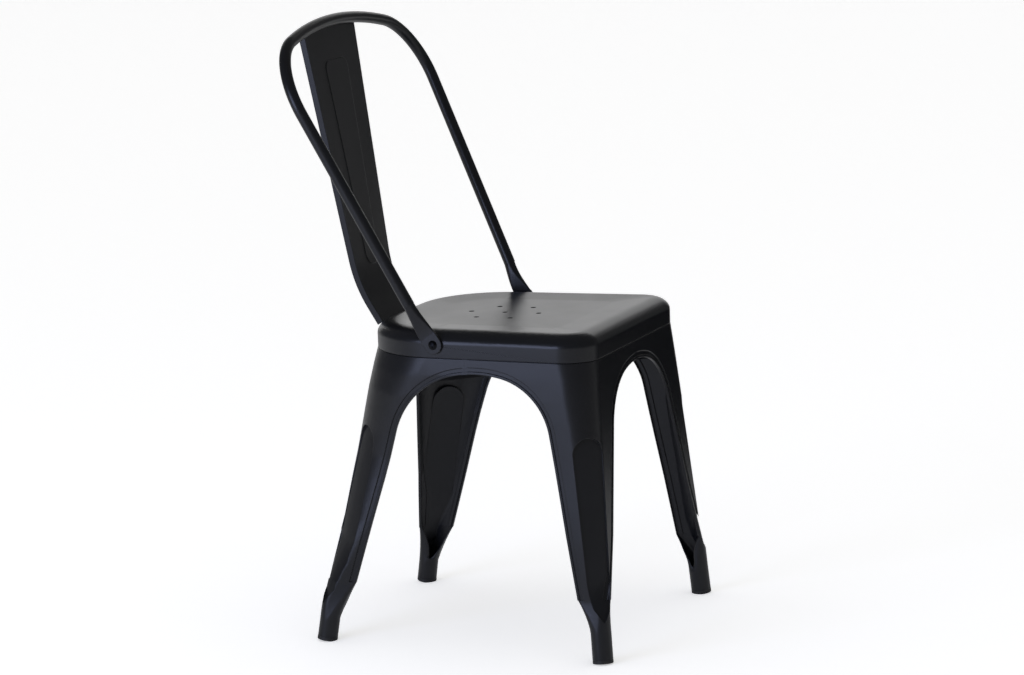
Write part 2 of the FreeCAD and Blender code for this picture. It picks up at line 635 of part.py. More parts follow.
def make_leg(end):
    """A leg on the sitter's right: one sheet pressed to a fluted corner and curled into a foot."""
    corner = Corner(end)
    thick = size("leg_sheet")
    step = size("bead_step")
    curl = size("curl_top")
    seam = SKIRT_FOOT - size("leg_gap")
    room = leg_room(end, curl, SKIRT_FOOT + REACH)

    def wall(inset):
        outer = leg_block(end, inset, curl, seam).cut(flute(corner, inset))
        inner = leg_block(end, inset + thick, curl - OVER, seam + OVER).cut(flute(corner, inset + thick))
        return outer.cut(inner).common(room)

    def arches(grow):
        return side_arch(grow).fuse(end_arch(end, grow))

    # The faces, the groove pressed along the arches, and the short lips turned in round them
    clear = arches(0)
    groove = arches(size("bead_width")).cut(arches(size("bead_rim")))
    faces = wall(0).cut([groove, clear])
    band = wall(step).common(groove)
    lip_zone = leg_block(end, 0, curl, seam).cut(leg_block(end, size("lip"), curl - OVER, seam + OVER))
    lips = lip_zone.common(arches(thick)).cut(clear).common(room)

    # The band that the seat's skirt slides over, and the joggle that joins it to the leg
    joggle_low = seam - thick
    slide = size("pan_sheet") + size("weld_fit")
    joggle = prism(seat_plan(0, joggle_low), Vector(0, 0, thick))
    tongue = prism(seat_plan(slide, joggle_low), Vector(0, 0, SKIRT_FOOT + size("leg_band") - joggle_low))
    hollow = prism(seat_plan(slide + thick, joggle_low - OVER), Vector(0, 0, size("leg_band") + 4 * OVER))
    collar = joggle.fuse(tongue).cut(hollow).common(room)

    # The curl: the corner, its two faces and their lips close into a round foot
    round_top = size(end + "_curl_round")
    shares = [0, 0.07, 0.23, 0.42, 0.61, 0.8, 1]

    def foot_block(inset, low):
        tube = Part.makeLoft([foot_section(corner, inset, low), foot_section(corner, inset, round_top)],
                             True, True)
        sections = []
        for share in shares:
            z = round_top + (curl - round_top) * share ** (1 / size(end + "_curl_ease"))
            sections.append(curl_section(corner, inset, z, share))
        return tube.fuse(Part.makeLoft(sections, True, True)).cut(flute(corner, inset))

    foot = foot_block(0, -4 * OVER).cut(foot_block(thick, -5 * OVER))
    side = corner.side_point(side_edge(end, curl), curl)
    lip_side = side + Vector(size("lip"), 0, 0)
    lip_end = Vector(-end_edge(end, curl), corner.sharp(curl).y - corner.way * size("lip"), curl)
    notch = corner.axis(round_top - size("curl_close")) + corner.inward * FOOT_RADIUS
    normal = (lip_end - lip_side).cross(notch - lip_side).normalize()
    if normal.dot(corner.inward) < 0:
        normal = normal * -1
    foot = foot.cut(half_space(lip_side, normal, 4 * FOOT_RADIUS))
    foot = foot.cut(half_space(corner.tube_end(), corner.axis_up() * -1, 4 * FOOT_RADIUS))

    leg = faces.fuse([band, lips, collar, foot]).removeSplitter()
    return leg.cut(screw_hole())


# The hoop lies in a leaning plane, described by the distance across the chair and up the plane
HOOP_UP = Vector(0, math.sin(radians("hoop_lean")), math.cos(radians("hoop_lean")))
HOOP_FOOT = Vector(0, size("hoop_setback"), size("seat_height"))
HOOP_RADIUS = size("hoop_tube") / 2


def on_hoop(across, up):
    return HOOP_FOOT + Vector(across, 0, 0) + HOOP_UP * up


def hoop_shape():
    """The centre line's corner centre, crown centre and the places where its arcs meet."""
    corner = size("hoop_corner")
    crown = size("hoop_crown")
    across = size("hoop_width") / 2 - corner
    top = (size("chair_height") - HOOP_RADIUS - size("seat_height")) / HOOP_UP.z
    crown_centre = top - crown
    up = crown_centre + math.sqrt((crown - corner) ** 2 - across ** 2)
    return across, up, crown_centre, top


def hoop_path():
    """The centre line from the sitter's right post over the top to the left one."""
    across, up, crown_centre, top = hoop_shape()
    corner = size("hoop_corner")
    crown = size("hoop_crown")
    flare = radians("hoop_flare")
    join_turn = math.atan2(up - crown_centre, across)
    mid_turn = (join_turn - flare) / 2
    shoulder = (across + corner * math.cos(flare), up - corner * math.sin(flare))
    bow = (across + corner * math.cos(mid_turn), up + corner * math.sin(mid_turn))
    join = (crown * math.cos(join_turn), crown_centre + crown * math.sin(join_turn))
    drop = (shoulder[1] - size("post_rise") / HOOP_UP.z)
    foot = (shoulder[0] - drop * math.tan(flare), shoulder[1] - drop)

    def side(way, point):
        return on_hoop(way * point[0], point[1])

    edges = [line(side(-1, foot), side(-1, shoulder)),
             arc(side(-1, shoulder), side(-1, bow), side(-1, join)),
             arc(side(-1, join), on_hoop(0, top), side(1, join)),
             arc(side(1, join), side(1, bow), side(1, shoulder)),
             line(side(1, shoulder), side(1, foot))]
    return Part.Wire(edges)


def flat_section(middle, width_way, thick_way, width, thick):
    """A rounded bar's outline: as wide along one way as it is thick along the other."""
    radius = min(width, thick) / 2 - 0.5
    frame = rounded_frame([(-width / 2, -thick / 2), (width / 2, -thick / 2),
                           (width / 2, thick / 2), (-width / 2, thick / 2)], [radius] * 4, 0)
    frame.Placement = Placement(middle, Rotation(width_way, thick_way, width_way.cross(thick_way), "XYZ"))
    return frame


def make_hoop():
    """A bent tube whose two ends are pressed flat and lie on the skirt."""
    path = hoop_path()
    first = path.Edges[0]
    start = first.valueAt(first.FirstParameter)
    along = first.tangentAt(first.FirstParameter)
    tube = None
    for radius in (HOOP_RADIUS, HOOP_RADIUS - size("hoop_wall")):
        ring = Part.Wire(Part.makeCircle(radius, start, along))
        pipe = path.makePipeShell([ring], True, True)
        tube = pipe if tube is None else tube.cut(pipe)

    # The flattened end: a plate on the skirt, then sections that open to the round tube
    thick = size("tab_thick")
    width = size("tab_width")
    lean = radians("tab_lean")
    rise = SIDE_ALONG * math.sin(lean) + Vector(0, 0, math.cos(lean))
    level = SIDE_ALONG * math.cos(lean) - Vector(0, 0, math.sin(lean))
    fold = rise * size("tab_fold")
    left, right = [SCREW_SEAT + level * (way * width / 2) for way in (-1, 1)]
    plate_wire = Part.Wire([arc(left, SCREW_SEAT - rise * (width / 2), right), line(right, right + fold),
                            line(right + fold, left + fold), line(left + fold, left)])
    plate = prism(plate_wire, SIDE_OUT * thick)

    low = SCREW_SEAT + SIDE_OUT * (thick / 2) + rise * (size("tab_fold") - 2)
    high = start + along * 3
    knee = low + rise * ((high - low).Length * 0.45)
    tube_out = (SIDE_OUT - along * SIDE_OUT.dot(along)).normalize()
    tube_level = tube_out.cross(along).normalize()
    if tube_level.dot(level) < 0:
        tube_level = tube_level * -1
    sections = []
    for share in (0.0, 0.3, 0.6, 0.85, 1.0):
        ease = share * share * (3 - 2 * share)
        middle = low * (1 - share) ** 2 + knee * (2 * share * (1 - share)) + high * share ** 2
        way = (level * (1 - ease) + tube_level * ease).normalize()
        out = SIDE_OUT * (1 - ease) + tube_out * ease
        out = (out - way * out.dot(way)).normalize()
        wide = (width - 0.6) * (1 - ease) + (2 * HOOP_RADIUS - 1) * ease
        deep = (thick - 0.4) * (1 - ease) + (2 * HOOP_RADIUS - 1) * ease
        sections.append(flat_section(middle, way, out, wide, deep))
    end = plate.fuse(Part.makeLoft(sections, True, False))
    hoop = tube.fuse([end, mirrored(end)])
    return hoop.cut(screw_hole())


SPLAT_TOP = size("chair_height") - size("splat_drop")
BEND_TOP = size("seat_height") + size("splat_bend_rise")
PANEL_TOP = SPLAT_TOP - size("panel_drop")
PANEL_FOOT = size("seat_height") + size("panel_rise")


def splat_line(offset):
    """The splat's side profile from its toe to its top, as edges, set back by an offset."""
    toe_bend = size("splat_toe_bend")
    bend = size("splat_bend")
    foot_lean = radians("splat_foot_lean")
    lean = radians("splat_lean")

    def back(angle):
        return Vector(0, math.cos(angle), -math.sin(angle))

    def up(angle):
        return Vector(0, math.sin(angle), math.cos(angle))

    hoop_top = on_hoop(0, hoop_shape()[3])
    top = hoop_top + Vector(0, (HOOP_RADIUS + size("weld_fit")) / math.cos(lean), 0)
    top = top + up(lean) * ((SPLAT_TOP - top.z) / up(lean).z)
    bend_top = top - up(lean) * ((top.z - BEND_TOP) / up(lean).z)
    bend_centre = bend_top - back(lean) * bend
    bend_foot = bend_centre + back(foot_lean) * bend
    skirt = SEAT_BACK + size("weld_fit")
    # The lower straight runs until the toe's bend, which ends upright on the skirt
    toe_rise = toe_bend * (1 - math.cos(foot_lean))
    run = (bend_foot.y - skirt - toe_rise) / up(foot_lean).y
    toe_top = bend_foot - up(foot_lean) * run
    toe_centre = toe_top + back(foot_lean) * toe_bend
    toe_foot = toe_centre - back(0) * toe_bend
    toe = Vector(0, toe_foot.y, below_rim("splat_toe_drop"))

    def shifted(point, angle):
        return point + back(angle) * offset

    mid_toe = toe_centre - back(foot_lean / 2) * toe_bend
    mid_angle = (foot_lean + lean) / 2
    mid_bend = bend_centre + back(mid_angle) * bend
    return [line(shifted(toe, 0), shifted(toe_foot, 0)),
            arc(shifted(toe_foot, 0), shifted(mid_toe, foot_lean / 2), shifted(toe_top, foot_lean)),
            line(shifted(toe_top, foot_lean), shifted(bend_foot, foot_lean)),
            arc(shifted(bend_foot, foot_lean), shifted(mid_bend, mid_angle), shifted(bend_top, lean)),
            line(shifted(bend_top, lean), shifted(top, lean))]


def splat_slab(front, back):
    """The splat's profile between two setbacks, swept across the chair."""
    first = splat_line(front)
    second = splat_line(back)
    ends = [line(first[0].Vertexes[0].Point, second[0].Vertexes[0].Point),
            line(first[-1].Vertexes[-1].Point, second[-1].Vertexes[-1].Point)]
    wire = closed(first + second + ends)
    reach = size("splat_top_width")
    wire.translate(Vector(-reach, 0, 0))
    return prism(wire, Vector(2 * reach, 0, 0))


def splat_half(z):
    """Half width of the splat at a height."""
    share = (z - size("seat_height")) / (SPLAT_TOP - size("seat_height"))
    return (size("splat_foot_width") + (size("splat_top_width") - size("splat_foot_width")) * share) / 2


def front_cut(points):
    """A prism along the chair with a front view of straight or curved edges."""
    return prism(points, Vector(0, 2 * REACH, 0))


def splat_outline(inset, low):
    top = SPLAT_TOP + OVER
    corners = [(-splat_half(low) + inset, low), (splat_half(low) - inset, low),
               (splat_half(top) - inset, top), (-splat_half(top) + inset, top)]
    return front_cut(polygon([Vector(x, -REACH, z) for x, z in corners]))


def splat_panel():
    """The embossed panel's front view: four straight sides with round corners."""
    top_half = size("panel_top_width") / 2
    foot_half = size("panel_foot_width") / 2
    corners = [(-foot_half, PANEL_FOOT), (foot_half, PANEL_FOOT),
               (top_half, PANEL_TOP), (-top_half, PANEL_TOP)]
    radii = [size("panel_foot_corner"), size("panel_foot_corner"), size("panel_corner"), size("panel_corner")]
    frame = rounded_frame(corners, radii, 0)
    frame.Placement = Placement(Vector(0, -REACH, 0), Rotation(Vector(1, 0, 0), 90))
    return front_cut(frame)


def make_splat():
    """A sheet with folded edges and an embossed panel, its toe bent down onto the skirt."""
    thick = size("splat_sheet")
    step = size("panel_step")
    outline = splat_outline(0, below_rim("splat_toe_drop") - OVER)
    panel = splat_panel()
    face = splat_slab(0, thick).common(outline).cut(panel)
    raised = splat_slab(-step, thick - step).common(panel).common(outline)
    # The folded edges stop square to the sheet just above the skirt
    lean = radians("splat_foot_lean")
    strip = splat_line(0)[2].Vertexes[-1].Point
    stop = strip - Vector(0, math.tan(lean), 1) * (strip.z - below_rim("flange_drop"))
    low = below_rim("flange_drop") - size("splat_flange")
    folds = splat_slab(0, size("splat_flange")).common(splat_outline(0, low))
    folds = folds.cut(splat_outline(thick, low - OVER))
    folds = folds.cut(half_space(stop, Vector(0, -math.sin(lean), -math.cos(lean)), REACH))
    folds = folds.cut(half_space(Vector(0, 0, SPLAT_TOP - size("flange_top_drop")), Vector(0, 0, 1), REACH))
    return face.fuse([raised, folds]).removeSplitter()


def make_solid_pieces():
    add_shape("seat_pan", make_seat_pan())
    for end in ("front", "back"):
        leg = make_leg(end)
        name = {"front": "front", "back": "rear"}[end]
        add_shape(name + "_right_leg", leg)
        add_shape(name + "_left_leg", mirrored(leg))
    add_shape("back_hoop", make_hoop())
    add_shape("back_splat", make_splat())


def bound(kind, name, **sizes):
    """A primitive whose sizes are expressions on the sheet."""
    solid = doc.addObject("Part::" + kind, name)
    for prop, expression in sizes.items():
        solid.setExpression(prop, expression)
    return solid


def combine(kind, name, base, tool):
    result = doc.addObject("Part::" + kind, name)
    result.Base = base
    result.Tool = tool
    return result


def make_braces():
    """Two flat bars on edge, crossed under the seat and let into each other by half."""
    inside = doc.addObject("Part::Feature", "inside_of_legs")
    quarters = []
    for end in ("front", "back"):
        block = leg_block(end, size("leg_sheet") + size("weld_fit"), size("waist"), SKIRT_FOOT)
        start = SPLIT - REACH if end == "front" else SPLIT
        quarters.append(block.common(Part.makeBox(2 * REACH, REACH, REACH, Vector(-REACH, start, 0))))
    inside.Shape = quarters[0].fuse(quarters[1]).removeSplitter()
    middle_height = below_rim("brace_drop") + size("brace_height") / 2
    ends = []
    for end in ("front", "back"):
        corner = Corner(end)
        ends.append(corner.sharp(middle_height) + corner.inward * corner.depth(middle_height, 0))
    front, back = ends
    crossing = front.y + (back.y - front.y) * front.x / (front.x + back.x)
    turn = math.degrees(math.atan2(back.y - front.y, -back.x - front.x))
    long_enough = 2 * size("feet_span")
    notch_width = size("brace_thick") + size("weld_fit")
    for name, sign, from_top in (("cross_brace_right_front", 1, True),
                                 ("cross_brace_left_front", -1, False)):
        way = Rotation(Vector(0, 0, 1), sign * turn)
        other = Rotation(Vector(0, 0, 1), -sign * turn)
        middle = Vector(0, crossing, below_rim("brace_drop"))
        bar = bound("Box", name + "_bar", Width="sizes.brace_thick", Height="sizes.brace_height")
        bar.Length = long_enough
        bar.Placement = Placement(middle + way.multVec(Vector(-long_enough / 2, -size("brace_thick") / 2, 0)),
                                  way)
        notch = bound("Box", name + "_notch", Width="sizes.brace_thick + sizes.weld_fit",
                      Height="sizes.brace_height / 2 + sizes.weld_fit")
        notch.Length = 10 * size("brace_thick")
        start = Vector(-5 * size("brace_thick"), -notch_width / 2, 0)
        lift = size("brace_height") / 2 if from_top else -size("weld_fit")
        notch.Placement = Placement(middle + other.multVec(start) + Vector(0, 0, lift), other)
        notched = combine("Cut", name + "_notched", bar, notch)
        keep(combine("Common", name, notched, inside), name)


def make_glides():
    """A plastic plug in each foot: a stem inside the tube and a rim that the chair stands on."""
    for end, name in (("front", "front"), ("back", "rear")):
        corner = Corner(end)
        for side, side_name in ((RIGHT, "right"), (LEFT, "left")):
            label = "%s_%s_glide" % (name, side_name)
            up = corner.axis_up()
            low = corner.axis(0) + up * corner.rim_low()
            if side == LEFT:
                up = Vector(-up.x, up.y, up.z)
                low = Vector(-low.x, low.y, low.z)
            upright = Rotation(Vector(0, 0, 1), up)
            rim = bound("Cylinder", label + "_rim", Radius="sizes.foot_tube / 2",
                        Height="sizes.glide_rim - sizes.weld_fit / 2")
            rim.Placement = Placement(low, upright)
            stem = bound("Cylinder", label + "_stem",
                         Radius="sizes.foot_tube / 2 - sizes.leg_sheet - 2 * sizes.weld_fit",
                         Height="sizes.glide_rim + sizes.glide_plug")
            stem.Placement = Placement(low, upright)
            floor = bound("Box", label + "_floor", Length="sizes.foot_tube * 2", Width="sizes.foot_tube * 2",
                          Height="sizes.foot_tube")
            foot = size("foot_tube")
            floor.Placement = Placement(Vector(low.x - foot, low.y - foot, -foot), Rotation())
            whole = combine("Fuse", label + "_whole", rim, stem)
            keep(combine("Cut", label, whole, floor), label)


def make_fasteners():
    """A screw, a washer and a nut through the skirt on each side."""
    dome = size("screw_dome")
    head = size("screw_head") / 2
    ball = (head ** 2 + dome ** 2) / (2 * dome)
    for side, side_name in ((RIGHT, "right"), (LEFT, "left")):
        out = Vector(-side * SIDE_OUT.x, SIDE_OUT.y, 0)
        seat = Vector(-side * SCREW_SEAT.x, SCREW_SEAT.y, SCREW_SEAT.z)
        turned = Rotation(Vector(0, 0, 1), out)

        def at(distance):
            return Placement(seat + out * distance, turned)

        head_seat = size("tab_thick")
        shank = bound("Cylinder", "shank_" + side_name, Radius="sizes.screw_shank / 2",
                      Height="sizes.screw_length + sizes.screw_dome / 4")
        shank.Placement = at(head_seat - size("screw_length"))
        cap = doc.addObject("Part::Sphere", "cap_" + side_name)
        cap.Radius = ball
        cap.Angle1 = math.degrees(math.asin((ball - dome) / ball))
        cap.Placement = at(head_seat + dome - ball)
        solid = combine("Fuse", "screw_solid_" + side_name, shank, cap)
        slots = []
        for number in range(2):
            slot = bound("Box", "slot_%s_%d" % (side_name, number), Length="sizes.recess_span",
                         Width="sizes.recess_slot", Height="sizes.recess_depth * 2")
            spin = turned.multiply(Rotation(Vector(0, 0, 1), 20 + 90 * number))
            start = spin.multVec(Vector(-size("recess_span") / 2, -size("recess_slot") / 2, 0))
            slot.Placement = Placement(seat + out * (head_seat + dome - size("recess_depth")) + start, spin)
            slots.append(slot)
        recess = combine("Fuse", "recess_" + side_name, slots[0], slots[1])
        keep(combine("Cut", "hoop_screw_" + side_name, solid, recess), "hoop_screw_" + side_name)

        inner = -(size("pan_sheet") + size("weld_fit") + size("leg_sheet"))
        washer = bound("Cylinder", "washer_disc_" + side_name, Radius="sizes.washer_size / 2",
                       Height="sizes.washer_thick")
        washer.Placement = at(inner - size("washer_thick"))
        washer_bore = bound("Cylinder", "washer_bore_" + side_name, Radius="sizes.screw_bore / 2",
                            Height="sizes.washer_thick * 3")
        washer_bore.Placement = at(inner - 2 * size("washer_thick"))
        keep(combine("Cut", "hoop_washer_" + side_name, washer, washer_bore), "hoop_washer_" + side_name)

        nut = doc.addObject("Part::Prism", "nut_block_" + side_name)
        nut.Polygon = 6
        nut.setExpression("Circumradius", "sizes.nut_flats / cos(30 deg) / 2")
        nut.setExpression("Height", "sizes.nut_height")
        nut_low = inner - size("washer_thick") - size("nut_height")
        nut.Placement = at(nut_low)
        thread = bound("Cylinder", "nut_bore_" + side_name, Radius="sizes.screw_shank / 2 + 0.02",
                       Height="sizes.nut_height * 3")
        thread.Placement = at(nut_low - size("nut_height"))
        keep(combine("Cut", "hoop_nut_" + side_name, nut, thread), "hoop_nut_" + side_name)


make_solid_pieces()
make_braces()
make_glides()
make_fasteners()
doc.recompute()

for item in doc.Objects:
    bad = [state for state in item.State if state in ("Invalid", "Error")]
    if bad:
        raise RuntimeError("%s did not build: %s" % (item.Label, bad))
for piece in PIECES:
    if piece.Shape.isNull() or not piece.Shape.isValid():
        raise RuntimeError("%s has no sound shape" % piece.Label)

# The origin goes to the middle of the whole chair's box, at floor level
lows = [piece.Shape.optimalBoundingBox(True, False) for piece in PIECES]
middle_y = (min(box.YMin for box in lows) + max(box.YMax for box in lows)) / 2
home = Placement(Vector(0, -middle_y, 0), Rotation())
os.makedirs("parts", exist_ok=True)
for piece in PIECES:
    piece.Placement = home.multiply(piece.Placement)
    box = piece.Shape.BoundBox
    print("%-26s solids %d volume %.0f box %s %s" % (
        piece.Label, len(piece.Shape.Solids), piece.Shape.Volume,
        [round(v, 1) for v in (box.XMin, box.YMin, box.ZMin)],
        [round(v, 1) for v in (box.XMax, box.YMax, box.ZMax)]))
    piece.Shape.exportStep("parts/%s.step" % piece.Label)
print("chair moved along Y by", round(-middle_y, 3))
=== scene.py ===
# %% [markdown]
# # A sheet-metal bistro chair, dressed for the camera
# The chair's shape comes from a imported CAD model: pressed legs, a seat pan, a bent tube hoop and
# a splat. This lesson gives each piece its surface, puts the chair on a pale floor in soft light,
# and sets a camera where the photographer stood. The first cell loads the model.

# %% Load the chair
import math

import bpy
from mathutils import Matrix, Vector


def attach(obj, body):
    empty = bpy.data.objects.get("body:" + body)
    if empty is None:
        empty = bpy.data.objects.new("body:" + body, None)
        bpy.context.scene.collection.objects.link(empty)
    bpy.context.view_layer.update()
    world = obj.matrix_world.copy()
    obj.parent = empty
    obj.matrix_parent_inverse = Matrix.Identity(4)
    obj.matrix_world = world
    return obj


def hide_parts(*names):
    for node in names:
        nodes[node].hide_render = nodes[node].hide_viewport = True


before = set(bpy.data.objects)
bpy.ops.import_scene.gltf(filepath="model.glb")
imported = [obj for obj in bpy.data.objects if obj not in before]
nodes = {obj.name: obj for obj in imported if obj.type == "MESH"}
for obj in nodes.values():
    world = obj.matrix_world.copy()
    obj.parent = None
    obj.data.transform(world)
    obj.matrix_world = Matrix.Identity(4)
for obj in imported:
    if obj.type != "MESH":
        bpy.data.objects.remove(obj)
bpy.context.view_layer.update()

scene = bpy.context.scene
MM = 0.001

# %% [markdown]
# Colours are given as hex values, the way a paint chart gives them. Blender's shaders work
# with linear light, so one function turns a hex value into linear numbers. A second small function
# adds a node to a material, sets its inputs and joins its wires, which keeps each recipe below
# short enough to read.

# %% Colour and node helpers


def linear(hex_colour):
    """A paint-chart hex value as linear red, green, blue and full cover."""
    channels = [int(hex_colour[i:i + 2], 16) / 255 for i in (1, 3, 5)]
    return [c / 12.92 if c <= 0.04045 else ((c + 0.055) / 1.055) ** 2.4 for c in channels] + [1.0]


def add(material, kind, inputs=(), links=(), **settings):
    """Adds one node, with its settings, its input values and its wires."""
    node = material.node_tree.nodes.new(kind)
    for name, value in settings.items():
        setattr(node, name, value)
    for name, value in dict(inputs).items():
        node.inputs[name].default_value = value
    for name, output in dict(links).items():
        material.node_tree.links.new(output, node.inputs[name])
    return node


def new_material(name):
    material = bpy.data.materials.new(name)
    material.use_nodes = True
    material.node_tree.nodes.clear()
    return material


# %% [markdown]
# The steel is powder coated: a dry black powder is sprayed on, then baked until it melts and flows.
# It doesn't level as well as wet paint, so a fine orange-peel stays, and the shine is satin.
# A glossy black would mirror the studio, and a flat black would lose the folds, so the roughness
# sits between the two, near 0.3. The refraction index is 1.42, a little under the 1.5 of a clear
# polyester film, because the grain of a satin powder mirrors less light than a smooth film does.
# The real orange-peel is about 1 mm from hill to hill, which the camera can't show, so it is drawn
# at 3 mm. A wider pattern, 60 mm across, varies the shade and the shine a little, as handling does.
#
# A press rounds every fold of a sheet, and the round catches the light as a soft line. The Bevel node
# gives that look: it turns the surface's direction within 1.5 mm of a fold and leaves the shape alone.
# Where two legs meet, over each side arch and in the middle of the front and back aprons, the weld is
# ground flat, so the node is switched off within 4 mm of those joints and draws no line there.

# %% Black powder coat
SHINIEST, DULLEST = 0.28, 0.34
PRESS_RADIUS = 1.5 * MM
WELD_HALF_WIDTH = 4 * MM
LEGS_UP_TO = 410 * MM
rear_leg = nodes["rear_right_leg"]
JOINT_Y = min((rear_leg.matrix_world @ vertex.co).y for vertex in rear_leg.data.vertices)
print("the legs meet over the side arch at y =", round(JOINT_Y / MM, 1), "mm")


def make_powder_coat():
    coat = new_material("satin_black_powder_coat")
    where = add(coat, "ShaderNodeTexCoord").outputs["Object"]
    peel = add(coat, "ShaderNodeTexNoise", {"Scale": 1 / (3 * MM), "Detail": 2.0, "Roughness": 0.5},
               {"Vector": where})
    handling = add(coat, "ShaderNodeTexNoise", {"Scale": 1 / (60 * MM), "Detail": 4.0, "Roughness": 0.6},
                   {"Vector": where})
    shade = add(coat, "ShaderNodeMix", {"A": linear("#121317"), "B": linear("#16171B")},
                data_type="RGBA")
    coat.node_tree.links.new(handling.outputs["Fac"], shade.inputs["Factor"])
    return coat, where, peel, handling, shade


def away_from_joints(coat, where):
    """0 on the ground-flat weld between two legs, and 1 on the rest of the sheet."""
    place = add(coat, "ShaderNodeSeparateXYZ", links={"Vector": where})
    near_y = add(coat, "ShaderNodeMath", {1: JOINT_Y}, {0: place.outputs["Y"]}, operation="SUBTRACT")
    far = []
    for distance in (place.outputs["X"], near_y.outputs[0]):
        size = add(coat, "ShaderNodeMath", links={0: distance}, operation="ABSOLUTE")
        far.append(add(coat, "ShaderNodeMath", {1: WELD_HALF_WIDTH}, {0: size.outputs[0]},
                       operation="GREATER_THAN"))
    both = add(coat, "ShaderNodeMath", links={0: far[0].outputs[0], 1: far[1].outputs[0]},
               operation="MINIMUM")
    above = add(coat, "ShaderNodeMath", {1: LEGS_UP_TO}, {0: place.outputs["Z"]},
                operation="GREATER_THAN")
    return add(coat, "ShaderNodeMath", links={0: both.outputs[0], 1: above.outputs[0]},
               operation="MAXIMUM").outputs[0]


def finish_powder_coat():
    coat, where, peel, handling, shade = make_powder_coat()
    shine = add(coat, "ShaderNodeMapRange", {"To Min": SHINIEST, "To Max": DULLEST},
                {"Value": handling.outputs["Fac"]})
    pressed = add(coat, "ShaderNodeBevel", {"Radius": PRESS_RADIUS}, samples=6)
    plain = add(coat, "ShaderNodeNewGeometry")
    surface = add(coat, "ShaderNodeMix", links={"Factor": away_from_joints(coat, where)},
                  data_type="VECTOR")
    coat.node_tree.links.new(plain.outputs["Normal"], surface.inputs[4])
    coat.node_tree.links.new(pressed.outputs["Normal"], surface.inputs[5])
    bump = add(coat, "ShaderNodeBump", {"Strength": 0.12, "Distance": 0.1 * MM},
               {"Height": peel.outputs["Fac"], "Normal": surface.outputs[1]})
    skin = add(coat, "ShaderNodeBsdfPrincipled", {"IOR": 1.42},
               {"Roughness": shine.outputs["Result"], "Normal": bump.outputs["Normal"]})
    coat.node_tree.links.new(shade.outputs[2], skin.inputs["Base Color"])
    add(coat, "ShaderNodeOutputMaterial", links={"Surface": skin.outputs["BSDF"]})
    return coat


powder_coat = finish_powder_coat()
print("made", powder_coat.name)

# %% [markdown]
# The foot glides are injection moulded polyethylene, black all through and duller than the coat.
# The mould was spark eroded, which leaves a fine even grain of about 0.3 mm. It is drawn at 1 mm.

# %% Moulded glide plastic


def make_glide_plastic():
    plastic = new_material("moulded_black_polyethylene")
    where = add(plastic, "ShaderNodeTexCoord").outputs["Object"]
    grain = add(plastic, "ShaderNodeTexNoise", {"Scale": 1 / (1 * MM), "Detail": 2.0}, {"Vector": where})
    shine = add(plastic, "ShaderNodeMapRange", {"To Min": 0.5, "To Max": 0.62},
                {"Value": grain.outputs["Fac"]})
    bump = add(plastic, "ShaderNodeBump", {"Strength": 0.2, "Distance": 0.05 * MM},
               {"Height": grain.outputs["Fac"]})
    skin = add(plastic, "ShaderNodeBsdfPrincipled", {"IOR": 1.51, "Base Color": linear("#1B1B1C")},
               {"Roughness": shine.outputs["Result"], "Normal": bump.outputs["Normal"]})
    add(plastic, "ShaderNodeOutputMaterial", links={"Surface": skin.outputs["BSDF"]})
    return plastic


glide_plastic = make_glide_plastic()

# %% [markdown]
# The screws are black zinc: steel, plated and then dyed black, so they are a dark metal and not a
# paint. The washers and nuts are hidden inside the skirt and stay plain zinc, a bluish bright metal
# with the soft crystal bloom of plating.

# %% Plated steel


def make_plating(name, light, dark, roughness):
    metal = new_material(name)
    where = add(metal, "ShaderNodeTexCoord").outputs["Object"]
    bloom = add(metal, "ShaderNodeTexNoise", {"Scale": 1 / (2 * MM), "Detail": 3.0}, {"Vector": where})
    colour = add(metal, "ShaderNodeMix", {"A": linear(dark), "B": linear(light)}, data_type="RGBA")
    metal.node_tree.links.new(bloom.outputs["Fac"], colour.inputs["Factor"])
    shine = add(metal, "ShaderNodeMapRange", {"To Min": roughness - 0.06, "To Max": roughness + 0.06},
                {"Value": bloom.outputs["Fac"]})
    skin = add(metal, "ShaderNodeBsdfPrincipled", {"Metallic": 1.0}, {"Roughness": shine.outputs["Result"]})
    metal.node_tree.links.new(colour.outputs[2], skin.inputs["Base Color"])
    add(metal, "ShaderNodeOutputMaterial", links={"Surface": skin.outputs["BSDF"]})
    return metal


black_zinc = make_plating("black_zinc_plated_steel", "#26272A", "#1C1D20", 0.38)
bright_zinc = make_plating("bright_zinc_plated_steel", "#C4C8CC", "#AEB3B8", 0.3)

# %% [markdown]
# A CAD model arrives as loose triangles with perfectly sharp corners. Real pressed sheet has a small
# radius on each edge, and that radius is what catches the light as a thin bright line. So each CAD
# piece is copied, its doubled points are merged, its sharp edges get a bevel of 0.3 mm, or 0.15 mm on
# the small fasteners, and every edge that turns by less than 32 degrees is shaded smooth. The large
# flat faces rule the shading beside them. The copy then stands for the CAD piece in the picture.

# %% Dress the CAD pieces
SHEET_EDGE = 0.3 * MM
FASTENER_EDGE = 0.15 * MM
SAME_POINT = 0.002 * MM
ROUND_FROM = math.radians(40)
SMOOTH_UNDER = math.radians(32)


def select_only(piece):
    bpy.ops.object.select_all(action="DESELECT")
    piece.select_set(True)
    bpy.context.view_layer.objects.active = piece


def merge_doubles(piece):
    select_only(piece)
    bpy.ops.object.mode_set(mode="EDIT")
    bpy.ops.mesh.select_all(action="SELECT")
    bpy.ops.mesh.remove_doubles(threshold=SAME_POINT)
    bpy.ops.object.mode_set(mode="OBJECT")


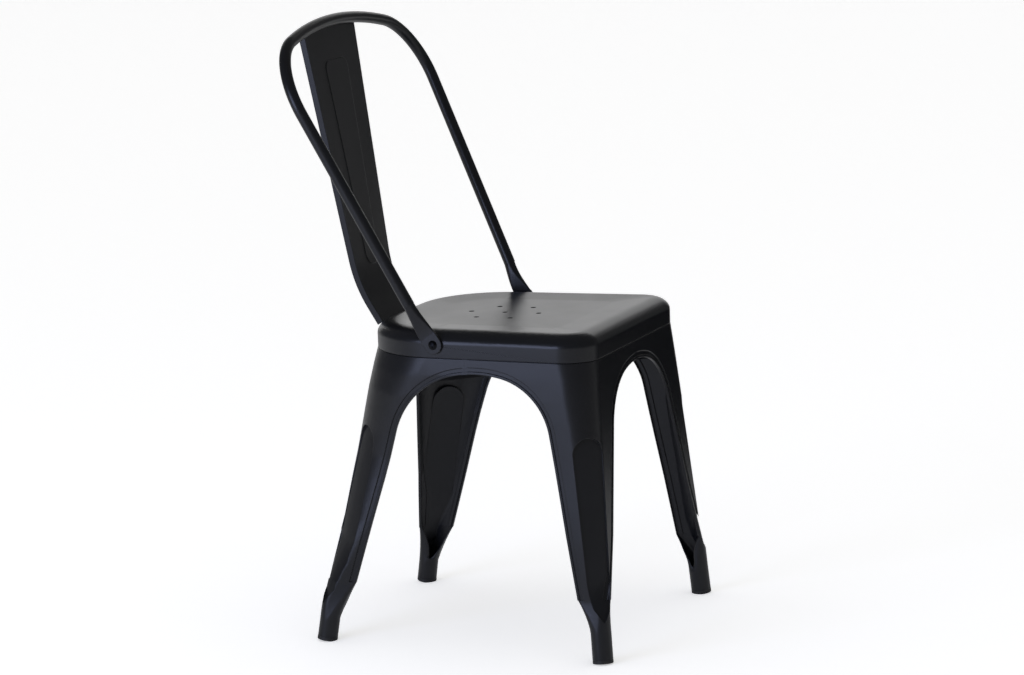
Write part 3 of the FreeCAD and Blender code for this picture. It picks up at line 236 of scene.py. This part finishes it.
def dress(node_name, material, edge_radius=SHEET_EDGE):
    piece = nodes[node_name].copy()
    piece.data = nodes[node_name].data.copy()
    piece.name = node_name + "_finished"
    piece.data.name = piece.name
    scene.collection.objects.link(piece)
    merge_doubles(piece)
    bevel = piece.modifiers.new("edge", "BEVEL")
    bevel.width = edge_radius
    bevel.segments = 2
    bevel.limit_method = "ANGLE"
    bevel.angle_limit = ROUND_FROM
    bpy.ops.object.modifier_apply(modifier=bevel.name)
    bpy.ops.object.shade_smooth_by_angle(angle=SMOOTH_UNDER)
    leaning = piece.modifiers.new("flat faces rule", "WEIGHTED_NORMAL")
    leaning.mode = "FACE_AREA"
    leaning.keep_sharp = True
    bpy.ops.object.modifier_apply(modifier=leaning.name)
    piece.data.materials.clear()
    piece.data.materials.append(material)
    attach(piece, "root")
    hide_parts(node_name)
    return piece


sheet_names = ["seat_pan", "front_right_leg", "front_left_leg", "rear_right_leg", "rear_left_leg",
               "back_hoop", "back_splat", "cross_brace_right_front", "cross_brace_left_front"]
for name in sheet_names:
    piece = dress(name, powder_coat)
    print(piece.name, "has", len(piece.data.polygons), "faces")
for end in ("front", "rear"):
    for side in ("right", "left"):
        dress("%s_%s_glide" % (end, side), glide_plastic)
for side in ("right", "left"):
    dress("hoop_screw_" + side, black_zinc, FASTENER_EDGE)
    dress("hoop_washer_" + side, bright_zinc, FASTENER_EDGE)
    dress("hoop_nut_" + side, bright_zinc, FASTENER_EDGE)

# %% [markdown]
# The photograph is a cut-out on white. Here the chair stands on a real floor, a wide sheet of paper
# that keeps a soft shadow, in front of a paper wall. The camera sees both as clean white, because a
# Light Path node tells its rays apart and adds a little glow for them. The wall adds it for mirrored
# rays too, so the coat mirrors a white wall. The floor doesn't, so it is plain paper in the coat.

# %% Paper floor and wall
VIEW_AZIMUTH = math.radians(-67.78)
PAPER_WHITE = "#F4F4F4"
FLOOR_GLOW, WALL_GLOW = 0.46, 0.6
FLOOR_SIZE, WALL_SIZE = (30, 30), (11, 7)
WALL_DISTANCE = 11.5


def make_paper(name, glow, shown_to):
    """White paper whose glow is seen only by the named kinds of ray."""
    paper = new_material(name)
    where = add(paper, "ShaderNodeTexCoord").outputs["Object"]
    fibre = add(paper, "ShaderNodeTexNoise", {"Scale": 1 / (5 * MM), "Detail": 3.0}, {"Vector": where})
    shine = add(paper, "ShaderNodeMapRange", {"To Min": 0.85, "To Max": 0.95},
                {"Value": fibre.outputs["Fac"]})
    skin = add(paper, "ShaderNodeBsdfPrincipled", {"IOR": 1.45, "Base Color": linear(PAPER_WHITE)},
               {"Roughness": shine.outputs["Result"]})
    rays = add(paper, "ShaderNodeLightPath")
    seen = rays.outputs[shown_to[0]]
    for kind in shown_to[1:]:
        seen = add(paper, "ShaderNodeMath", links={0: seen, 1: rays.outputs[kind]},
                   operation="MAXIMUM").outputs[0]
    level = add(paper, "ShaderNodeMath", {1: glow}, {0: seen}, operation="MULTIPLY")
    shining = add(paper, "ShaderNodeEmission", {"Color": (1, 1, 1, 1)}, {"Strength": level.outputs[0]})
    both = add(paper, "ShaderNodeAddShader",
               links={0: skin.outputs["BSDF"], 1: shining.outputs["Emission"]})
    add(paper, "ShaderNodeOutputMaterial", links={"Surface": both.outputs["Shader"]})
    return paper


def make_sheet(name, size, location, rotation, material):
    bpy.ops.object.select_all(action="DESELECT")
    bpy.ops.mesh.primitive_plane_add(size=1.0, location=location, rotation=rotation)
    sheet = bpy.context.object
    sheet.name = name
    sheet.scale = (size[0], size[1], 1)
    bpy.ops.object.transform_apply(location=True, rotation=True, scale=True)
    sheet.data.materials.append(material)


behind = Vector((-math.sin(VIEW_AZIMUTH), math.cos(VIEW_AZIMUTH), 0))
wall_place = behind * WALL_DISTANCE + Vector((0, 0, WALL_SIZE[1] / 2))
floor_paper = make_paper("white_paper_floor", FLOOR_GLOW, ["Is Camera Ray"])
wall_paper = make_paper("white_paper_wall", WALL_GLOW,
                        ["Is Camera Ray", "Is Glossy Ray", "Is Transmission Ray"])
make_sheet("studio_floor", FLOOR_SIZE, (0, 0, 0), (0, 0, 0), floor_paper)
make_sheet("studio_wall", WALL_SIZE, wall_place, (math.pi / 2, 0, VIEW_AZIMUTH), wall_paper)
print("floor and wall in place, the wall", WALL_DISTANCE, "m behind the chair")

# %% [markdown]
# The room around the paper is plain and even, which lets each colour look like itself. In mirrors it
# is dim, as a studio is beyond its lamps, so that the black coat stays black on the sides that don't
# face the white wall.

# %% Room light
ROOM_LEVEL = 0.6
MIRRORED_ROOM_LEVEL = 0.1


def make_room():
    world = bpy.data.worlds.new("plain_room")
    world.use_nodes = True
    world.node_tree.nodes.clear()
    rays = add(world, "ShaderNodeLightPath")
    level_seen = add(world, "ShaderNodeMapRange", {"To Min": ROOM_LEVEL, "To Max": MIRRORED_ROOM_LEVEL},
                     {"Value": rays.outputs["Is Glossy Ray"]})
    behind_all = add(world, "ShaderNodeMath",
                     links={0: level_seen.outputs["Result"], 1: rays.outputs["Is Camera Ray"]},
                     operation="MAXIMUM")
    light = add(world, "ShaderNodeBackground", {"Color": (1, 1, 1, 1)},
                {"Strength": behind_all.outputs["Value"]})
    add(world, "ShaderNodeOutputWorld", links={"Surface": light.outputs["Background"]})
    scene.world = world


make_room()
print("room light set to", ROOM_LEVEL, "and", MIRRORED_ROOM_LEVEL, "in mirrors")

# %% [markdown]
# A photographer keeps black metal black with a flag, a board of black cloth outside the picture. Here
# it stands at the front right and is real only to mirrored rays, so that it shades nothing.

# %% Black flag


def make_flag_cloth():
    cloth = new_material("black_flag_cloth")
    where = add(cloth, "ShaderNodeTexCoord").outputs["Object"]
    weave = add(cloth, "ShaderNodeTexNoise", {"Scale": 1 / (2 * MM)}, {"Vector": where})
    shade = add(cloth, "ShaderNodeMix", {"A": linear("#060606"), "B": linear("#0A0A0A")},
                {"Factor": weave.outputs["Fac"]}, data_type="RGBA")
    black = add(cloth, "ShaderNodeBsdfDiffuse", links={"Color": shade.outputs[2]})
    clear = add(cloth, "ShaderNodeBsdfTransparent")
    rays = add(cloth, "ShaderNodeLightPath")
    choice = add(cloth, "ShaderNodeMixShader",
                 links={0: rays.outputs["Is Glossy Ray"], 1: clear.outputs["BSDF"],
                        2: black.outputs["BSDF"]})
    add(cloth, "ShaderNodeOutputMaterial", links={"Surface": choice.outputs["Shader"]})
    return cloth


FLAG_SIZE = (1.3, 0.38)
flag_place = Vector((1.05, -0.75, 0.2))
facing_chair = math.atan2(flag_place.x, -flag_place.y)
make_sheet("black_flag", FLAG_SIZE, flag_place, (math.pi / 2, 0, facing_chair), make_flag_cloth())
print("flag stands", round(flag_place.length, 2), "m away")

# %% [markdown]
# One large softbox, a little bluish like a window, stands to the left and behind the chair. The sheet
# sides mirror it at a glance and turn bluish, while the corners fall off to black.

# %% Lamps


def softbox(name, place, aim, width, height, watts, colour):
    lamp = bpy.data.lights.new(name, "AREA")
    lamp.shape = "RECTANGLE"
    lamp.size = width
    lamp.size_y = height
    lamp.energy = watts
    lamp.color = linear(colour)[:3]
    holder = bpy.data.objects.new(name, lamp)
    scene.collection.objects.link(holder)
    holder.location = place
    holder.rotation_euler = (Vector(aim) - Vector(place)).to_track_quat("-Z", "Y").to_euler()
    print(name, "is", round((Vector(aim) - Vector(place)).length, 2), "m away at", watts, "W")


softbox("window_softbox", place=(-2.9, 1.4, 0.9), aim=(0, 0, 0.4), width=1.6, height=1.2,
        watts=34.0, colour="#CAD6FF")

# %% [markdown]
# The camera was worked out from the photograph: the level joint under the seat, the four feet and
# the symmetry of the hoop fix where the photographer stood, about 5.2 m away with a long lens.
# It looks from the sitter's right and a little from the front, 10 degrees down, and the picture is
# tilted by about 2 degrees.

# %% Camera
ELEVATION = math.radians(9.96)
ROLL = math.radians(-2.14)
CAMERA_PLACE = Vector((-4719.7, -1955.7, 1295.4)) * MM
PICTURE_WIDTH = 1024
FOCAL_PIXELS = 3737.7


def make_camera():
    back = Vector((math.sin(VIEW_AZIMUTH) * math.cos(ELEVATION),
                   -math.cos(VIEW_AZIMUTH) * math.cos(ELEVATION), math.sin(ELEVATION)))
    level_right = (-back).cross(Vector((0, 0, 1))).normalized()
    level_up = level_right.cross(-back)
    right = level_right * math.cos(ROLL) + level_up * math.sin(ROLL)
    up = level_up * math.cos(ROLL) - level_right * math.sin(ROLL)
    data = bpy.data.cameras.new("photographer")
    data.sensor_width = 36.0
    data.lens = FOCAL_PIXELS * data.sensor_width / PICTURE_WIDTH
    data.clip_end = 100.0
    camera = bpy.data.objects.new("photographer", data)
    scene.collection.objects.link(camera)
    turn = Matrix((right, up, back)).transposed().to_4x4()
    camera.matrix_world = Matrix.Translation(CAMERA_PLACE) @ turn
    scene.camera = camera
    return camera


camera = make_camera()
print("lens in mm:", round(camera.data.lens, 1))

# %% [markdown]
# The picture's colours are left as the shaders give them, so a hex value on a piece looks like
# itself.

# %% Finish
scene.view_settings.view_transform = "Standard"
